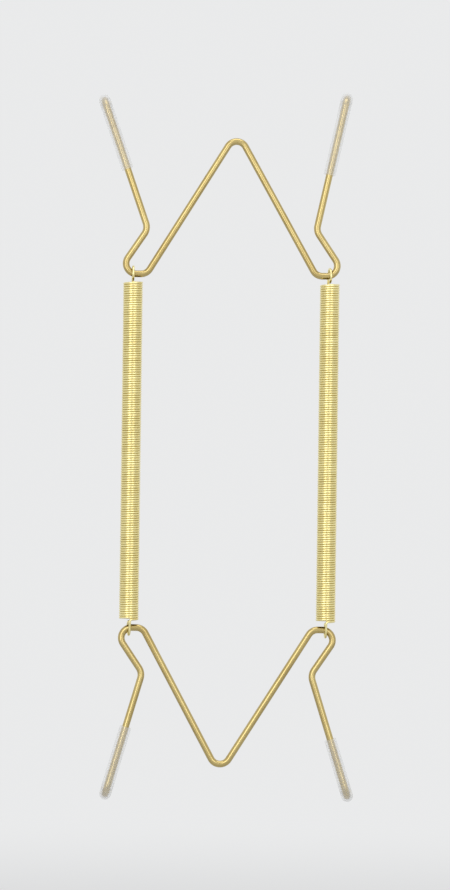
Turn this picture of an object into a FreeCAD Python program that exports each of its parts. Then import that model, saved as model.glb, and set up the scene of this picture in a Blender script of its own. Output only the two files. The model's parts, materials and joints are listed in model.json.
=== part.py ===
import FreeCAD, Part
import math
import os

# Wire plate hanger, in millimetres and degrees.
# X runs to the right, Y from the wall towards the plate, and Z up.
# The origin is the nail's seat, on the underside of the top wire's peak.

# Hook wire: one round brass wire for each of the two forms
wire_diameter = 1.5
top_form_height = 29.6
bottom_form_height = 30.0
peak_bend_radius = 2.25
eye_bend_radius = 2.3
eye_seat_length = 1.0
eye_inset = 1.2
limb_lean = 34.0
elbow_height = 10.0
elbow_bend_radius = 2.75
hook_bend_radius = 2.2
hook_turn = 105.0
hook_tip_length = 6.5
top_arm_length = 30.2
bottom_arm_length = 28.2

# Each form is bent by hand: its peak stands off the middle and every arm has its own splay
top_peak_shift = 0.75
bottom_peak_shift = -1.2
top_left_splay = 19.3
top_right_splay = 12.3
bottom_left_splay = 16.3
bottom_right_splay = 17.5

# Springs: close-wound coils of thin wire, with a loop standing on each end
spring_spacing = 43.6
spring_wire_diameter = 0.515
coil_diameter = 4.4
coil_turns = 146
ridged_turns = 6
groove_depth = 0.13
loop_radius = 1.5
loop_lift = 0.2
loop_bend_radius = 0.45
loop_sweep = 250.0
loop_slack = 0.45
top_left_loop_angle = 4.0
top_right_loop_angle = 10.0
bottom_left_loop_angle = -10.0
bottom_right_loop_angle = -4.0

# Clear sleeves, pushed over the hooks
sleeve_diameter = 2.6
sleeve_clearance = 0.2
sleeve_overhang = 0.6
top_left_sleeve_reach = 16.2
top_right_sleeve_reach = 17.5
bottom_left_sleeve_reach = 15.7
bottom_right_sleeve_reach = 13.3

# How finely round sections and bends are cut: sides of a section, and degrees in a step of a bend
wire_sides = 16
sleeve_sides = 16
loop_sides = 8
bend_step = 20.0

# Directions, the two sides as signs, and angles of a turn
RIGHT = FreeCAD.Vector(1, 0, 0)
PLATEWARD = FreeCAD.Vector(0, 1, 0)
UP = FreeCAD.Vector(0, 0, 1)
LEFT_SIDE = -1
RIGHT_SIDE = 1
FULL_TURN = 360.0
HALF_TURN = 180.0
QUARTER_TURN = 90.0
MITRED_CORNERS = 1

# Sizes that follow from the ones above
wire_radius = wire_diameter / 2
spring_wire_radius = spring_wire_diameter / 2
coil_radius = coil_diameter / 2 - spring_wire_radius
coil_length = coil_turns * spring_wire_diameter
loop_centre = loop_lift + loop_radius
loop_top = loop_centre + loop_radius
shoulder = eye_inset - eye_seat_length / 2
shoulder_slope = math.asin(shoulder / eye_bend_radius)
shoulder_rise = eye_bend_radius * (1 - math.cos(shoulder_slope))
wire_depth_on_shoulder = wire_radius / math.cos(shoulder_slope)
shoulder_from_coil = loop_top - spring_wire_radius - loop_slack - wire_depth_on_shoulder
eye_from_coil = shoulder_from_coil - shoulder_rise
middle_x = -top_peak_shift
top_eye_z = wire_radius - top_form_height
coil_top_z = top_eye_z - eye_from_coil
coil_bottom_z = coil_top_z - coil_length
bottom_eye_z = coil_bottom_z - eye_from_coil


class Route:
    """The middle line of a bent wire: straight runs, and bends cut into short even steps."""

    def __init__(self, tip, heading):
        self.tip = FreeCAD.Vector(tip)
        self.heading = FreeCAD.Vector(heading)
        self.corners = []

    def mark(self):
        self.corners.append(FreeCAD.Vector(self.tip))

    def run(self, length):
        self.tip += self.heading * length

    def bend(self, axis, radius, angle):
        steps = math.ceil(angle / bend_step)
        half_step = radius * math.tan(math.radians(angle / steps) / 2)
        turn = FreeCAD.Rotation(axis, angle / steps)
        for step in range(steps):
            self.run(half_step)
            self.mark()
            self.heading = turn.multVec(self.heading)
            self.run(half_step)


def round_section(centre, heading, radius, sides):
    """A many-sided outline across the heading, with the area of the round one."""
    step = 2 * math.pi / sides
    reach = radius * math.sqrt(step / math.sin(step))
    facing = FreeCAD.Rotation(UP, heading)
    points = []
    for side in range(sides):
        angle = (side + 0.5) * step
        spoke = FreeCAD.Vector(reach * math.cos(angle), reach * math.sin(angle), 0)
        points.append(centre + facing.multVec(spoke))
    return Part.makePolygon(points + points[:1])


def wire_along(corners, radius, sides):
    section = round_section(corners[0], corners[1] - corners[0], radius, sides)
    return Part.makePolygon(corners).makePipeShell([section], True, False, MITRED_CORNERS)


def elbow_reach(splay):
    return elbow_bend_radius * math.tan(math.radians(limb_lean + splay) / 2)


def leg_drop_and_length(height, across):
    """Angle below level, and length, of the leg that is tangent to the peak bend and the eye bend."""
    drop = height - peak_bend_radius - eye_bend_radius
    radii = peak_bend_radius + eye_bend_radius
    between_centres = math.hypot(across, drop)
    angle = math.asin(radii / between_centres) + math.atan2(drop, across)
    length = math.sqrt(between_centres ** 2 - radii ** 2)
    return math.degrees(angle), length


def bend_to_arm_end(route, side, outward, height, splay, arm_length):
    """Bends one half of a form, from the middle of its peak to the end of its arm."""
    inward_turn = (RIGHT * side).cross(outward)
    outward_turn = inward_turn * -1
    eye_start = spring_spacing / 2 - eye_inset - eye_seat_length / 2
    leg_angle, leg_length = leg_drop_and_length(height, eye_start + side * (middle_x - route.tip.x))
    limb_height = elbow_height - eye_bend_radius * (1 + math.sin(math.radians(limb_lean)))
    route.bend(outward_turn, peak_bend_radius, leg_angle)
    route.run(leg_length)
    route.bend(inward_turn, eye_bend_radius, leg_angle)
    route.run(eye_seat_length)
    route.bend(inward_turn, eye_bend_radius, QUARTER_TURN + limb_lean)
    route.run(limb_height / math.cos(math.radians(limb_lean)) - elbow_reach(splay))
    route.bend(outward_turn, elbow_bend_radius, limb_lean + splay)
    route.run(arm_length - elbow_reach(splay) - hook_bend_radius)


def bend_hook(route, tip_length):
    """Turns the arm round towards the plate and ends it in a straight tip."""
    route.bend(route.heading.cross(PLATEWARD), hook_bend_radius, hook_turn)
    route.run(tip_length)
    route.mark()


def hook_wire(peak, outward, height, splays, arm_length):
    """One form, a single wire from hook tip to hook tip, and where each of its arms ends."""
    halves = {}
    arm_ends = {}
    for side, splay in splays.items():
        route = Route(peak, RIGHT * side)
        bend_to_arm_end(route, side, outward, height, splay, arm_length)
        arm_ends[side] = (FreeCAD.Vector(route.tip), route.heading)
        bend_hook(route, hook_tip_length)
        halves[side] = route.corners
    corners = halves[LEFT_SIDE][::-1] + halves[RIGHT_SIDE]
    return wire_along(corners, wire_radius, wire_sides), arm_ends


def sleeve(arm_end, reach):
    """A tube over the arm, the hook and the tip, open at both ends."""
    hook_start, heading = arm_end
    length_on_arm = reach - hook_bend_radius
    route = Route(hook_start - heading * length_on_arm, heading)
    route.mark()
    route.run(length_on_arm)
    bend_hook(route, hook_tip_length + sleeve_overhang)
    outside = wire_along(route.corners, sleeve_diameter / 2, sleeve_sides)
    bore = wire_along(route.corners, wire_radius + sleeve_clearance, sleeve_sides)
    return outside.cut(bore)


def coil():
    """The close-wound turns as one hollow barrel, with single turns standing out at both ends."""
    bore = coil_radius - spring_wire_radius
    crest = coil_radius + spring_wire_radius
    groove = crest - groove_depth
    lower_half = [FreeCAD.Vector(bore, 0, 0)]
    upper_half = [FreeCAD.Vector(bore, 0, coil_length)]
    for turn in range(ridged_turns):
        near = turn * spring_wire_diameter
        middle = near + spring_wire_radius
        lower_half += [FreeCAD.Vector(groove, 0, near), FreeCAD.Vector(crest, 0, middle)]
        upper_half += [FreeCAD.Vector(groove, 0, coil_length - near),
                       FreeCAD.Vector(crest, 0, coil_length - middle)]
    outline = Part.makePolygon(lower_half + upper_half[::-1] + lower_half[:1])
    return Part.Face(outline).revolve(FreeCAD.Vector(), UP, FULL_TURN)


def end_loop(angle):
    """The wire that leaves the last turn, bends up and goes round in a loop over the coil's end."""
    foot_x = math.sqrt(coil_radius ** 2 - loop_bend_radius ** 2)
    centre_height = loop_centre + spring_wire_radius
    to_centre = math.hypot(foot_x, centre_height)
    lean = math.atan2(foot_x, centre_height) - math.asin(loop_radius / to_centre)
    rise = FreeCAD.Vector(-math.sin(lean), 0, math.cos(lean))
    route = Route(FreeCAD.Vector(foot_x, -loop_bend_radius, -spring_wire_radius), PLATEWARD)
    route.mark()
    route.bend(PLATEWARD.cross(rise), loop_bend_radius, QUARTER_TURN)
    route.run(math.sqrt(to_centre ** 2 - loop_radius ** 2) - loop_bend_radius)
    route.bend(PLATEWARD * -1, loop_radius, loop_sweep)
    route.mark()
    loop = wire_along(route.corners, spring_wire_radius, loop_sides)
    loop.rotate(FreeCAD.Vector(), UP, QUARTER_TURN + angle)
    return loop


def spring(side, top_loop_angle, bottom_loop_angle):
    """A coil with its two loops, each turned about the coil's axis as it stands in the hanger."""
    top_loop = end_loop(top_loop_angle)
    top_loop.translate(UP * coil_length)
    bottom_loop = end_loop(bottom_loop_angle)
    bottom_loop.rotate(FreeCAD.Vector(), RIGHT, HALF_TURN)
    whole = coil().fuse([top_loop, bottom_loop])
    whole.translate(FreeCAD.Vector(middle_x + side * spring_spacing / 2, 0, coil_bottom_z))
    return whole


def build():
    top_peak = FreeCAD.Vector(0, 0, top_eye_z + top_form_height)
    bottom_peak = FreeCAD.Vector(middle_x + bottom_peak_shift, 0, bottom_eye_z - bottom_form_height)
    top_splays = {LEFT_SIDE: top_left_splay, RIGHT_SIDE: top_right_splay}
    bottom_splays = {LEFT_SIDE: bottom_left_splay, RIGHT_SIDE: bottom_right_splay}
    top_wire, top_arms = hook_wire(top_peak, UP, top_form_height, top_splays, top_arm_length)
    bottom_wire, bottom_arms = hook_wire(bottom_peak, UP * -1, bottom_form_height, bottom_splays,
                                         bottom_arm_length)
    return {
        "top_hook_wire": top_wire,
        "bottom_hook_wire": bottom_wire,
        "left_spring": spring(LEFT_SIDE, top_left_loop_angle, bottom_left_loop_angle),
        "right_spring": spring(RIGHT_SIDE, top_right_loop_angle, bottom_right_loop_angle),
        "top_left_sleeve": sleeve(top_arms[LEFT_SIDE], top_left_sleeve_reach),
        "top_right_sleeve": sleeve(top_arms[RIGHT_SIDE], top_right_sleeve_reach),
        "bottom_left_sleeve": sleeve(bottom_arms[LEFT_SIDE], bottom_left_sleeve_reach),
        "bottom_right_sleeve": sleeve(bottom_arms[RIGHT_SIDE], bottom_right_sleeve_reach),
    }


def main():
    os.makedirs("parts", exist_ok=True)
    for name, shape in build().items():
        shape.exportStep(os.path.join("parts", name + ".step"))
        print(name, len(shape.Solids), shape.isValid(), round(shape.Volume, 3))


if __name__ == "__main__":
    main()
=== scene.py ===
import json
import math

import bmesh
import bpy
from mathutils import Matrix, Quaternion, Vector


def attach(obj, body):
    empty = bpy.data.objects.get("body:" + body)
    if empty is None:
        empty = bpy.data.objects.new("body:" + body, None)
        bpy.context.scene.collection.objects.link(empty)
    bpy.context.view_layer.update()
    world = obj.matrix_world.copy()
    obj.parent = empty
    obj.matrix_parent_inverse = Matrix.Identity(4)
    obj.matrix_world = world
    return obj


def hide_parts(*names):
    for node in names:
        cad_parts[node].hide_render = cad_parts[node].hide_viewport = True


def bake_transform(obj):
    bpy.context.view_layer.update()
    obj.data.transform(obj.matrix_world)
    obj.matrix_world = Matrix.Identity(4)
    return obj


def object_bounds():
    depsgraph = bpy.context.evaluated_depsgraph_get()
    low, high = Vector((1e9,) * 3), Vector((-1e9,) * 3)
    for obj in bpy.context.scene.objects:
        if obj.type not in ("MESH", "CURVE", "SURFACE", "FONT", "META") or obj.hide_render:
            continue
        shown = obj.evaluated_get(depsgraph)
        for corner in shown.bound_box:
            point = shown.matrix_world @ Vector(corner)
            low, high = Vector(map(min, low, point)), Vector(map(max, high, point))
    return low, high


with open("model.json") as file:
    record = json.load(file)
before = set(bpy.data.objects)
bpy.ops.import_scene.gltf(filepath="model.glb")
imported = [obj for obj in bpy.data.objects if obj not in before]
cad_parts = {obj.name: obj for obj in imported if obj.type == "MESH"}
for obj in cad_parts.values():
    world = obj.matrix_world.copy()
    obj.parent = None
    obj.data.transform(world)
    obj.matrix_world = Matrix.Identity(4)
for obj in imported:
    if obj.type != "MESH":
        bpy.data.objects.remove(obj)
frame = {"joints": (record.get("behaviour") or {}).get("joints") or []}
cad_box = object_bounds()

# The hanger's sizes, in metres and radians, are those of its solids
MM = 0.001

# Bent hook wires
wire_radius = 0.75 * MM
top_form_height = 29.6 * MM
bottom_form_height = 30.0 * MM
peak_bend_radius = 2.25 * MM
eye_bend_radius = 2.3 * MM
eye_seat_length = 1.0 * MM
eye_inset = 1.2 * MM
limb_lean = math.radians(34.0)
elbow_height = 10.0 * MM
elbow_bend_radius = 2.75 * MM
hook_bend_radius = 2.2 * MM
hook_turn = math.radians(105.0)
hook_tip_length = 6.5 * MM
top_arm_length = 30.2 * MM
bottom_arm_length = 28.2 * MM
top_peak_shift = 0.75 * MM
bottom_peak_shift = -1.2 * MM
top_splays = {"left": math.radians(19.3), "right": math.radians(12.3)}
bottom_splays = {"left": math.radians(16.3), "right": math.radians(17.5)}

# Close-wound springs with a loop on each end
spring_spacing = 43.6 * MM
spring_wire_radius = 0.2575 * MM
coil_radius = 1.9425 * MM
coil_turns = 146
turn_gap = 0.01 * MM
loop_radius = 1.5 * MM
loop_lift = 0.2 * MM
loop_bend_radius = 0.45 * MM
loop_sweep = math.radians(250.0)
loop_slack = 0.45 * MM
top_loop_angles = {"left": math.radians(4.0), "right": math.radians(10.0)}
bottom_loop_angles = {"left": math.radians(-10.0), "right": math.radians(-4.0)}

# Clear sleeves over the hooks
sleeve_radius = 1.3 * MM
sleeve_clearance = 0.2 * MM
sleeve_overhang = 0.6 * MM
top_sleeve_reaches = {"left": 16.2 * MM, "right": 17.5 * MM}
bottom_sleeve_reaches = {"left": 15.7 * MM, "right": 13.3 * MM}

# How finely the round forms are cut
wire_sides = 24
sleeve_sides = 40
spring_wire_sides = 10
steps_per_turn = 36
bend_step = math.radians(5.0)
loop_step = math.radians(10.0)
run_steps = 3
run_lead = 0.3 * MM
cut_edge = 0.12 * MM
spring_cut_edge = 0.05 * MM
sleeve_edge = 0.08 * MM
merge_distance = 0.0002 * MM
edge_segments = 2
edge_profile = 0.5
sharp_angle = math.radians(50.0)

# Directions
RIGHT = Vector((1, 0, 0))
PLATEWARD = Vector((0, 1, 0))
UP = Vector((0, 0, 1))
SIDES = {"left": -1, "right": 1}
QUARTER_TURN = math.pi / 2
FULL_TURN = 2 * math.pi

# Place on the surface of a hook wire or a sleeve: across its section in x and y, and along it in z
WIRE_PLACE = "wire_place"

# Ends of a grey scale
BLACK = 0.0
WHITE = 1.0

# Places that follow from the sizes
spring_pitch = 2 * spring_wire_radius
coil_length = coil_turns * spring_pitch
loop_centre = loop_lift + loop_radius
shoulder = eye_inset - eye_seat_length / 2
shoulder_slope = math.asin(shoulder / eye_bend_radius)
shoulder_rise = eye_bend_radius * (1 - math.cos(shoulder_slope))
wire_depth_on_shoulder = wire_radius / math.cos(shoulder_slope)
eye_from_coil = (loop_centre + loop_radius - spring_wire_radius - loop_slack
                 - wire_depth_on_shoulder - shoulder_rise)
middle_x = -top_peak_shift
top_eye_z = wire_radius - top_form_height
coil_top_z = top_eye_z - eye_from_coil
coil_bottom_z = coil_top_z - coil_length
bottom_eye_z = coil_bottom_z - eye_from_coil


def add_object(name, data):
    """Puts a mesh, a lamp or a camera into the scene."""
    added = bpy.data.objects.new(name, data)
    bpy.context.scene.collection.objects.link(added)
    return added


def mesh_object(name, mesh, finish):
    """Turns a bmesh into an object at the origin."""
    shape = bpy.data.meshes.new(name)
    mesh.to_mesh(shape)
    mesh.free()
    shape.materials.append(finish)
    return add_object(name, shape)


class BentWire:
    """A mesh that grows along a wire from its first ring, by straight runs, bends and windings."""

    def __init__(self, start, heading, radius, sides):
        self.mesh = bmesh.new()
        self.place = self.mesh.verts.layers.float_vector.new(WIRE_PLACE)
        self.tip = Vector(start)
        self.heading = Vector(heading).normalized()
        self.length = 0.0
        facing = self.heading.to_track_quat("Z", "Y").to_matrix().to_4x4()
        seat = Matrix.Translation(self.tip) @ facing
        made = bmesh.ops.create_circle(self.mesh, segments=sides, radius=radius, matrix=seat)
        for point in made["verts"]:
            point[self.place] = facing.inverted() @ (point.co - self.tip)
        self.ring = self.mesh.edges[:]
        self.other_end = (self.ring, self.tip.copy(), -self.heading)

    def turn_back(self):
        """Goes on growing from the first ring, the other way."""
        there = (self.ring, self.tip.copy(), self.heading.copy())
        self.ring, self.tip, self.heading = self.other_end
        self.other_end = there
        self.length = 0.0

    def take_ring(self, made):
        """Makes the newest ring the open end, and gives its points their place on the wire."""
        fresh = {item for item in made if isinstance(item, bmesh.types.BMVert)}
        for point in fresh:
            for edge in point.link_edges:
                before = edge.other_vert(point)
                if before not in fresh:
                    across = before[self.place]
                    point[self.place] = Vector((across.x, across.y, self.length))
        self.ring = [item for item in made if isinstance(item, bmesh.types.BMEdge)]

    def run(self, length):
        """Goes straight on, with a short step at each end so that the shading of a long run stays even."""
        lead = min(run_lead, length / run_steps)
        for step in (lead, length - 2 * lead, lead):
            self.step_on(step)

    def step_on(self, length):
        step = self.heading * length
        made = bmesh.ops.extrude_edge_only(self.mesh, edges=self.ring)["geom"]
        fresh = [item for item in made if isinstance(item, bmesh.types.BMVert)]
        bmesh.ops.translate(self.mesh, verts=fresh, vec=step)
        self.tip += step
        self.length += length
        self.take_ring(made)

    def bend(self, axis, radius, angle, finest=bend_step):
        steps = math.ceil(angle / finest)
        centre = self.tip + axis.cross(self.heading) * radius
        for _ in range(steps):
            made = bmesh.ops.spin(self.mesh, geom=self.ring, cent=centre, axis=axis,
                                  angle=angle / steps, steps=1)["geom_last"]
            self.length += radius * angle / steps
            self.take_ring(made)
        turn = Quaternion(axis, angle)
        self.tip = centre + turn @ (self.tip - centre)
        self.heading = turn @ self.heading

    def bend_towards(self, heading, radius, finest=bend_step):
        axis = self.heading.cross(heading).normalized()
        self.bend(axis, radius, self.heading.angle(heading), finest)

    def wind(self, axis, angle, pitch):
        """Winds round an axis through the frame's origin by part of a turn, or by a whole one."""
        steps = math.ceil(angle / FULL_TURN * steps_per_turn)
        rise = pitch * angle / FULL_TURN
        made = bmesh.ops.spin(self.mesh, geom=self.ring, cent=Vector(), axis=axis, angle=angle,
                              steps=steps, dvec=axis * (rise / steps))["geom_last"]
        turn = Quaternion(axis, angle)
        self.tip = turn @ self.tip + axis * rise
        self.heading = turn @ self.heading
        self.take_ring(made)

    def wind_turns(self, axis, turns, pitch):
        """Winds one turn as the wire's first stretch, and copies it for the turns that follow."""
        self.wind(axis, FULL_TURN, pitch)
        first_turn = self.mesh.verts[:] + self.mesh.edges[:] + self.mesh.faces[:]
        last_ring = self.ring
        for turn in range(1, turns):
            copy = bmesh.ops.duplicate(self.mesh, geom=first_turn)
            fresh = [item for item in copy["geom"] if isinstance(item, bmesh.types.BMVert)]
            bmesh.ops.translate(self.mesh, verts=fresh, vec=axis * pitch * turn)
            self.ring = [copy["edge_map"][edge] for edge in last_ring]
        bmesh.ops.remove_doubles(self.mesh, verts=self.mesh.verts[:], dist=merge_distance)
        self.tip += axis * pitch * (turns - 1)

    def close_cut_ends(self, edge_size):
        """Closes both ends with a flat cut whose edge is slightly rounded."""
        near_ring = self.ring
        far_ring = self.other_end[0]
        for ring in (near_ring, far_ring):
            bmesh.ops.contextual_create(self.mesh, geom=ring)
        self.round_edges(near_ring + far_ring, edge_size)
        self.face_outwards()

    def thicken(self, wall, edge_size):
        """Gives an open tube its wall, inwards, and slightly rounds the rims at its ends."""
        self.face_outwards()
        bmesh.ops.solidify(self.mesh, geom=self.mesh.faces[:], thickness=wall)
        self.mesh.normal_update()
        rims = [edge for edge in self.mesh.edges if edge.calc_face_angle() > sharp_angle]
        self.round_edges(rims, edge_size)

    def face_outwards(self):
        bmesh.ops.recalc_face_normals(self.mesh, faces=self.mesh.faces[:])

    def round_edges(self, edges, size):
        bmesh.ops.bevel(self.mesh, geom=edges, offset=size, offset_type="OFFSET", affect="EDGES",
                        segments=edge_segments, profile=edge_profile, material=-1)

    def finished_piece(self, name, place, finish):
        """The piece as an object, with its place in its mesh and its bends smooth."""
        bmesh.ops.translate(self.mesh, verts=self.mesh.verts[:], vec=place)
        piece = mesh_object(name, self.mesh, finish)
        piece.data.shade_smooth()
        piece.data.set_sharp_from_angle(angle=sharp_angle)
        return piece


class Socket:
    """One output of a shader node. Arithmetic on it adds Math nodes."""

    def __init__(self, shading, output):
        self.shading = shading
        self.output = output

    def math(self, operation, first, second):
        return self.shading.node("ShaderNodeMath", {"operation": operation}, {0: first, 1: second})

    def __add__(self, other):
        return self.math("ADD", self, other)

    def __radd__(self, other):
        return self.math("ADD", other, self)

    def __mul__(self, other):
        return self.math("MULTIPLY", self, other)

    def __rmul__(self, other):
        return self.math("MULTIPLY", other, self)


class Shading:
    """A node tree that is filled one node at a time."""

    def __init__(self, tree):
        self.tree = tree
        tree.nodes.clear()

    def node(self, kind, settings=None, inputs=None, output=0):
        """Adds a node: its settings first, then its sockets' values or links."""
        made = self.tree.nodes.new(kind)
        for name, value in (settings or {}).items():
            if name == "stops":
                self.set_stops(made.color_ramp, value)
            else:
                setattr(made, name, value)
        for name, value in (inputs or {}).items():
            if isinstance(value, Socket):
                self.tree.links.new(value.output, made.inputs[name])
            else:
                made.inputs[name].default_value = value
        return Socket(self, made.outputs[output]) if made.outputs else None

    def set_stops(self, ramp, stops):
        """Sets the two stops that a new ramp has, in greys."""
        for element, (position, level) in zip(ramp.elements, stops):
            element.position = position
            element.color = (level, level, level, 1.0)

    def wire_place(self):
        """The place on the wire that each point was given as the wire grew."""
        return self.node("ShaderNodeAttribute", {"attribute_name": WIRE_PLACE}, None, "Vector")

    def body_place(self):
        """The place in the piece's own Object coordinates."""
        return self.node("ShaderNodeTexCoord", None, None, "Object")

    def noise(self, vector, detail, waves=1.0):
        """Noise with as many waves along each axis, to one unit of the vector."""
        return self.node("ShaderNodeTexNoise", None,
                         {"Vector": vector, "Scale": waves, "Detail": detail})

    def stretched_noise(self, vector, detail, waves):
        """Noise with its own number of waves along each axis."""
        drawn_out = self.node("ShaderNodeVectorMath", {"operation": "MULTIPLY"}, {0: vector, 1: waves})
        return self.noise(drawn_out, detail)

    def ramp(self, factor, low, high):
        """Rises from black at the low value of the factor to white at the high one."""
        return self.node("ShaderNodeValToRGB", {"stops": [(low, BLACK), (high, WHITE)]}, {"Fac": factor})

    def mixed_colour(self, factor, first, second):
        """Colour sockets of a Mix node: A is input 6, B is input 7 and the result is output 2."""
        return self.node("ShaderNodeMix", {"data_type": "RGBA"}, {0: factor, 6: first, 7: second}, 2)

    def mixed_surface(self, factor, first, second):
        """Sockets of a Mix Shader node: the factor is input 0, and the surfaces are inputs 1 and 2."""
        return self.node("ShaderNodeMixShader", None, {0: factor, 1: first, 2: second})

    def bumped(self, height, strength, distance):
        return self.node("ShaderNodeBump", None,
                         {"Height": height, "Strength": strength, "Distance": distance})


def new_finish(name):
    finish = bpy.data.materials.new(name)
    finish.use_nodes = True
    return finish, Shading(finish.node_tree)


def close_finish(shading, surface):
    shading.node("ShaderNodeOutputMaterial", None, {"Surface": surface})


def close_metal(shading, colour, roughness, normal):
    metal = shading.node("ShaderNodeBsdfPrincipled", None, {
        "Base Color": colour,
        "Metallic": 1.0,
        "Roughness": roughness,
        "Normal": normal,
    })
    close_finish(shading, metal)


# Hook wire's finish: its colours, its patterns in waves a metre, and how strongly they show
hook_wire_dark = (0.46, 0.345, 0.130, 1.0)
hook_wire_light = (0.635, 0.515, 0.228, 1.0)
die_line_waves = (5200.0, 5200.0, 45.0)
die_line_detail = 3.0
die_line_share = 0.6
die_line_bump = 0.25
die_line_depth = 0.02 * MM
hook_cloud_waves = 160.0
hook_cloud_detail = 3.0
hook_cloud_share = 0.4
hook_tone_low = 0.32
hook_tone_high = 0.68
hook_least_roughness = 0.17
hook_added_roughness = 0.16


def bright_drawn_wire():
    """Brass-finished wire with the fine lengthwise lines that the drawing die leaves."""
    finish, shading = new_finish("bright_drawn_wire")
    die_lines = shading.stretched_noise(shading.wire_place(), die_line_detail, die_line_waves)
    cloudy = shading.noise(shading.body_place(), hook_cloud_detail, hook_cloud_waves)
    pattern = die_lines * die_line_share + cloudy * hook_cloud_share
    tone = shading.ramp(pattern, hook_tone_low, hook_tone_high)
    colour = shading.mixed_colour(tone, hook_wire_dark, hook_wire_light)
    roughness = hook_least_roughness + die_lines * hook_added_roughness
    close_metal(shading, colour, roughness, shading.bumped(die_lines, die_line_bump, die_line_depth))
    return finish


# Spring wire's finish, in the same terms
spring_wire_dark = (0.87, 0.75, 0.350, 1.0)
spring_wire_light = (0.985, 0.89, 0.475, 1.0)
turn_waves = (60.0, 60.0, 700.0)
turn_detail = 2.0
turn_share = 0.55
spring_cloud_waves = 900.0
spring_cloud_detail = 3.0
spring_cloud_share = 0.45
spring_cloud_bump = 0.12
spring_cloud_depth = 0.01 * MM
spring_tone_low = 0.34
spring_tone_high = 0.66
spring_least_roughness = 0.21
spring_added_roughness = 0.14


def bright_spring_wire():
    """Thin brass-finished spring wire, paler than the hook wire."""
    finish, shading = new_finish("bright_spring_wire")
    body = shading.body_place()
    turns = shading.stretched_noise(body, turn_detail, turn_waves)
    cloudy = shading.noise(body, spring_cloud_detail, spring_cloud_waves)
    pattern = turns * turn_share + cloudy * spring_cloud_share
    tone = shading.ramp(pattern, spring_tone_low, spring_tone_high)
    colour = shading.mixed_colour(tone, spring_wire_dark, spring_wire_light)
    roughness = spring_least_roughness + cloudy * spring_added_roughness
    close_metal(shading, colour, roughness, shading.bumped(cloudy, spring_cloud_bump, spring_cloud_depth))
    return finish


# Sleeves' finish, with how much of the vinyl shows face on, along its flow lines and edge on
vinyl_colour = (0.94, 0.95, 0.965, 1.0)
vinyl_refraction = 1.45
flow_line_waves = (2600.0, 2600.0, 40.0)
flow_line_detail = 2.0
vinyl_least_roughness = 0.08
vinyl_added_roughness = 0.10
edge_on_blend = 0.5
shows_face_on = 0.10
shows_on_flow_lines = 0.08
shows_edge_on = 0.45


def clear_vinyl():
    """Clear soft tube: little of it shows face on, and its walls are pale where they are seen edge on."""
    finish, shading = new_finish("clear_vinyl")
    flow_lines = shading.stretched_noise(shading.wire_place(), flow_line_detail, flow_line_waves)
    edge_on = shading.node("ShaderNodeLayerWeight", None, {"Blend": edge_on_blend}, "Facing")
    vinyl = shading.node("ShaderNodeBsdfPrincipled", None, {
        "Base Color": vinyl_colour,
        "IOR": vinyl_refraction,
        "Roughness": vinyl_least_roughness + flow_lines * vinyl_added_roughness,
        "Alpha": shows_face_on + flow_lines * shows_on_flow_lines + edge_on * edge_on * shows_edge_on,
    })
    close_finish(shading, vinyl)
    return finish


def elbow_reach(splay):
    return elbow_bend_radius * math.tan((limb_lean + splay) / 2)


def leg_drop_and_length(height, across):
    """Angle below level, and length, of the leg that is tangent to the peak bend and the eye bend."""
    drop = height - peak_bend_radius - eye_bend_radius
    radii = peak_bend_radius + eye_bend_radius
    between_centres = math.hypot(across, drop)
    angle = math.asin(radii / between_centres) + math.atan2(drop, across)
    return angle, math.sqrt(between_centres ** 2 - radii ** 2)


def bend_to_arm_end(wire, side, outward, height, splay, arm_length):
    """Bends one half of a form, from the middle of its peak to the end of its arm."""
    inward_turn = (RIGHT * side).cross(outward)
    outward_turn = -inward_turn
    eye_start = spring_spacing / 2 - eye_inset - eye_seat_length / 2
    leg_angle, leg_length = leg_drop_and_length(height, eye_start + side * (middle_x - wire.tip.x))
    limb_height = elbow_height - eye_bend_radius * (1 + math.sin(limb_lean))
    wire.bend(outward_turn, peak_bend_radius, leg_angle)
    wire.run(leg_length)
    wire.bend(inward_turn, eye_bend_radius, leg_angle)
    wire.run(eye_seat_length)
    wire.bend(inward_turn, eye_bend_radius, QUARTER_TURN + limb_lean)
    wire.run(limb_height / math.cos(limb_lean) - elbow_reach(splay))
    wire.bend(outward_turn, elbow_bend_radius, limb_lean + splay)
    wire.run(arm_length - elbow_reach(splay) - hook_bend_radius)


def bend_hook(wire, tip_length):
    """Turns the arm round towards the plate and ends it in a straight tip."""
    wire.bend(wire.heading.cross(PLATEWARD), hook_bend_radius, hook_turn)
    wire.run(tip_length)


def hook_wire(name, peak, outward, height, splays, arm_length, finish):
    """One form, a single wire from hook tip to hook tip, and where each of its arms ends."""
    wire = BentWire(peak, RIGHT, wire_radius, wire_sides)
    arm_ends = {}
    for side in ("right", "left"):
        bend_to_arm_end(wire, SIDES[side], outward, height, splays[side], arm_length)
        arm_ends[side] = (wire.tip.copy(), wire.heading.copy())
        bend_hook(wire, hook_tip_length)
        wire.turn_back()
    wire.close_cut_ends(cut_edge)
    return wire.finished_piece(name, Vector(), finish), arm_ends


def sleeve(name, arm_end, reach, finish):
    """A tube over the arm, the hook and the tip, open at both ends."""
    hook_start, heading = arm_end
    length_on_arm = reach - hook_bend_radius
    wall = sleeve_radius - wire_radius - sleeve_clearance
    tube = BentWire(hook_start - heading * length_on_arm, heading, sleeve_radius, sleeve_sides)
    tube.run(length_on_arm)
    bend_hook(tube, hook_tip_length + sleeve_overhang)
    tube.thicken(wall, sleeve_edge)
    return tube.finished_piece(name, Vector(), finish)


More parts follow.
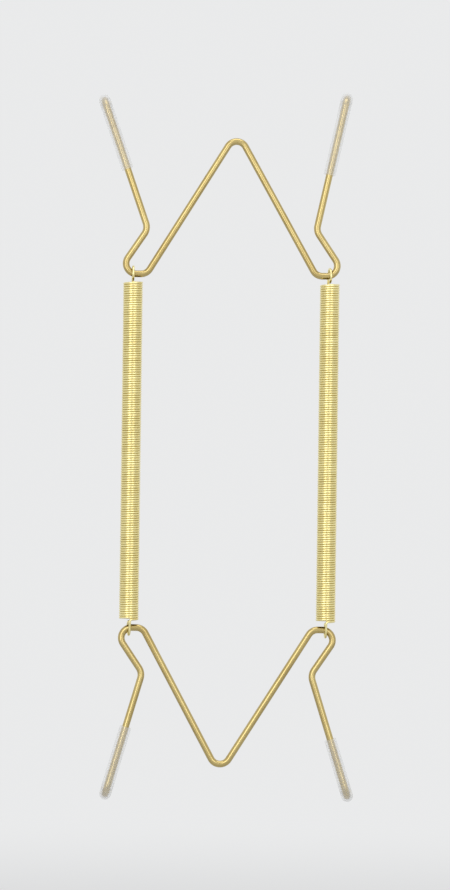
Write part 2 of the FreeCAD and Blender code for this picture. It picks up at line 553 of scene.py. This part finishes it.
def end_loop(wire, outward, across):
    """Bends the wire up from the last turn and takes it round in a loop over the coil's end."""
    foot_reach = math.sqrt(coil_radius ** 2 - loop_bend_radius ** 2)
    centre_height = loop_centre + spring_wire_radius
    to_centre = math.hypot(foot_reach, centre_height)
    lean = math.atan2(foot_reach, centre_height) - math.asin(loop_radius / to_centre)
    rise = outward * math.cos(lean) - across * math.sin(lean)
    wire.bend_towards(rise, loop_bend_radius, loop_step)
    wire.run(math.sqrt(to_centre ** 2 - loop_radius ** 2) - loop_bend_radius)
    wire.bend(across.cross(outward), loop_radius, loop_sweep, loop_step)


def spring(name, x, top_angle, bottom_angle, finish):
    """One wire: the lower loop, the coil's turns and the upper loop."""
    foot_angle = math.asin(loop_bend_radius / coil_radius)
    top_across = Quaternion(UP, QUARTER_TURN + top_angle) @ RIGHT
    bottom_across = Quaternion(UP, -QUARTER_TURN - bottom_angle) @ RIGHT
    first_foot = Quaternion(UP, foot_angle) @ bottom_across
    last_foot = Quaternion(UP, -foot_angle) @ top_across
    part_turn = (math.atan2(last_foot.y, last_foot.x) - math.atan2(first_foot.y, first_foot.x)) % FULL_TURN
    whole_turns = coil_turns - 1
    pitch = (coil_length - spring_pitch) / (whole_turns + part_turn / FULL_TURN)
    wire = BentWire(first_foot * coil_radius + UP * spring_wire_radius, UP.cross(first_foot),
                    spring_wire_radius - turn_gap / 2, spring_wire_sides)
    wire.wind_turns(UP, whole_turns, pitch)
    wire.wind(UP, part_turn, pitch)
    end_loop(wire, UP, top_across)
    wire.turn_back()
    end_loop(wire, -UP, bottom_across)
    wire.close_cut_ends(spring_cut_edge)
    return wire.finished_piece(name, Vector((x, 0, coil_bottom_z)), finish)


def dress(piece, body, node):
    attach(piece, body)
    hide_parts(node)


def build_hanger():
    hook_finish = bright_drawn_wire()
    spring_finish = bright_spring_wire()
    sleeve_finish = clear_vinyl()
    peaks = {"top": Vector((0, 0, top_eye_z + top_form_height)),
             "bottom": Vector((middle_x + bottom_peak_shift, 0, bottom_eye_z - bottom_form_height))}
    forms = {"top": (UP, top_form_height, top_splays, top_arm_length, top_sleeve_reaches),
             "bottom": (-UP, bottom_form_height, bottom_splays, bottom_arm_length, bottom_sleeve_reaches)}
    for level, (outward, height, splays, arm_length, reaches) in forms.items():
        body = level + "_form"
        wire, arm_ends = hook_wire(level + "_bent_wire", peaks[level], outward, height, splays, arm_length,
                                   hook_finish)
        dress(wire, body, level + "_hook_wire")
        for side in SIDES:
            node = level + "_" + side + "_sleeve"
            tube = sleeve(level + "_" + side + "_vinyl_tube", arm_ends[side], reaches[side], sleeve_finish)
            dress(tube, body, node)
    for side, sign in SIDES.items():
        x = middle_x + sign * spring_spacing / 2
        coil = spring(side + "_coil_spring", x, top_loop_angles[side], bottom_loop_angles[side],
                      spring_finish)
        coil_top_z - spring_pitch
        coil_bottom_z + spring_pitch
        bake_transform(coil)
        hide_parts(side + "_spring")


# The studio: a pale floor well below the hanger, a pale dome and soft lamps
box_low, box_high = cad_box
pale = (0.82, 0.825, 0.83, 1.0)
background_strength = 1.0
ambient_strength = 0.6
floor_reach = 6.0
floor_fade_start = 0.25
floor_fade_end = 1.2
floor_sides = 64
floor_gap = 0.02

# Softboxes, each placed from the middle of the hanger's box
softboxes = {
    "key_softbox": {"place": Vector((-0.36, -0.80, 0.20)), "width": 0.36, "height": 0.85, "radiance": 2.0},
    "fill_softbox": {"place": Vector((0.36, -0.80, 0.10)), "width": 0.32, "height": 0.85, "radiance": 1.4},
    "top_softbox": {"place": Vector((0.0, -0.15, 0.75)), "width": 0.70, "height": 0.50, "radiance": 1.6},
}


def longest_stretch():
    """How far the springs stretch, from the frame."""
    stretch = next(joint for joint in frame["joints"] if joint["name"] == "stretch")
    return max(stretch["range_m"])


def pale_floor():
    """A round floor that melts into the background, and keeps the hanger's shadow below it."""
    height = box_low.z - longest_stretch() - floor_gap
    mesh = bmesh.new()
    bmesh.ops.create_circle(mesh, cap_ends=True, segments=floor_sides, radius=floor_reach,
                            matrix=Matrix.Translation((0, 0, height)))
    finish, shading = new_finish("pale_floor")
    distance = shading.node("ShaderNodeVectorMath", {"operation": "LENGTH"},
                            {0: shading.body_place()}, "Value")
    fade = shading.node("ShaderNodeMapRange", {"interpolation_type": "SMOOTHSTEP"},
                        {"Value": distance, "From Min": floor_fade_start, "From Max": floor_fade_end})
    matte = shading.node("ShaderNodeBsdfDiffuse", None, {"Color": pale})
    glow = shading.node("ShaderNodeEmission", None, {"Color": pale, "Strength": background_strength})
    close_finish(shading, shading.mixed_surface(fade, matte, glow))
    floor = mesh_object("floor", mesh, finish)


def studio_dome():
    """The pale background, which wires and sleeves show too, and a dimmer light from all round."""
    world = bpy.data.worlds.new("studio")
    bpy.context.scene.world = world
    world.use_nodes = True
    shading = Shading(world.node_tree)
    seen = shading.node("ShaderNodeLightPath", None, None, "Is Camera Ray")
    mirrored = shading.node("ShaderNodeLightPath", None, None, "Is Glossy Ray")
    seen_through = shading.node("ShaderNodeLightPath", None, None, "Is Transmission Ray")
    background = shading.node("ShaderNodeBackground", None,
                              {"Color": pale, "Strength": background_strength})
    ambient = shading.node("ShaderNodeBackground", None, {"Color": pale, "Strength": ambient_strength})
    surface = shading.mixed_surface(seen + mirrored + seen_through, ambient, background)
    shading.node("ShaderNodeOutputWorld", None, {"Surface": surface})


def soft_lamp(name, place, width, height, radiance):
    """A softbox that faces the hanger's middle; its power follows from its size and brightness."""
    lamp = bpy.data.lights.new(name, "AREA")
    lamp.shape = "RECTANGLE"
    lamp.size = width
    lamp.size_y = height
    lamp.energy = radiance * math.pi * width * height
    holder = add_object(name, lamp)
    holder.location = (box_low + box_high) / 2 + place
    holder.rotation_euler = (-place).to_track_quat("-Z", "Y").to_euler()


def light_studio():
    studio_dome()
    pale_floor()
    for name, softbox in softboxes.items():
        soft_lamp(name, **softbox)


# The camera looks straight along +Y and is slightly rolled; columns and rows are pixels of the picture
picture_columns = 450
picture_rows = 890
pixel_size = 0.2216 * MM
coil_middle_column = 229.3
coil_middle_row = 451.9
camera_roll = math.radians(0.75)
camera_distance = 0.9
sensor_size = 36.0


def place_camera():
    """Puts the middle of the two coils where the photograph has it, at the photograph's scale."""
    right = Vector((math.cos(camera_roll), 0, math.sin(camera_roll)))
    up = Vector((-math.sin(camera_roll), 0, math.cos(camera_roll)))
    coil_middle = Vector((middle_x, 0, (coil_top_z + coil_bottom_z) / 2))
    columns_right = picture_columns / 2 - coil_middle_column
    rows_up = coil_middle_row - picture_rows / 2
    aim = coil_middle + (right * columns_right + up * rows_up) * pixel_size
    lens = bpy.data.cameras.new("camera")
    # The sensor's width lies along the longer side of the picture, which is its height
    lens.sensor_width = sensor_size
    lens.lens = sensor_size * camera_distance / (picture_rows * pixel_size)
    camera = add_object("camera", lens)
    camera.location = aim - PLATEWARD * camera_distance
    camera.rotation_euler = (QUARTER_TURN, -camera_roll, 0)
    bpy.context.scene.camera = camera


build_hanger()
light_studio()
place_camera()
bpy.context.scene.view_settings.view_transform = "Standard"

bpy.context.view_layer.update()
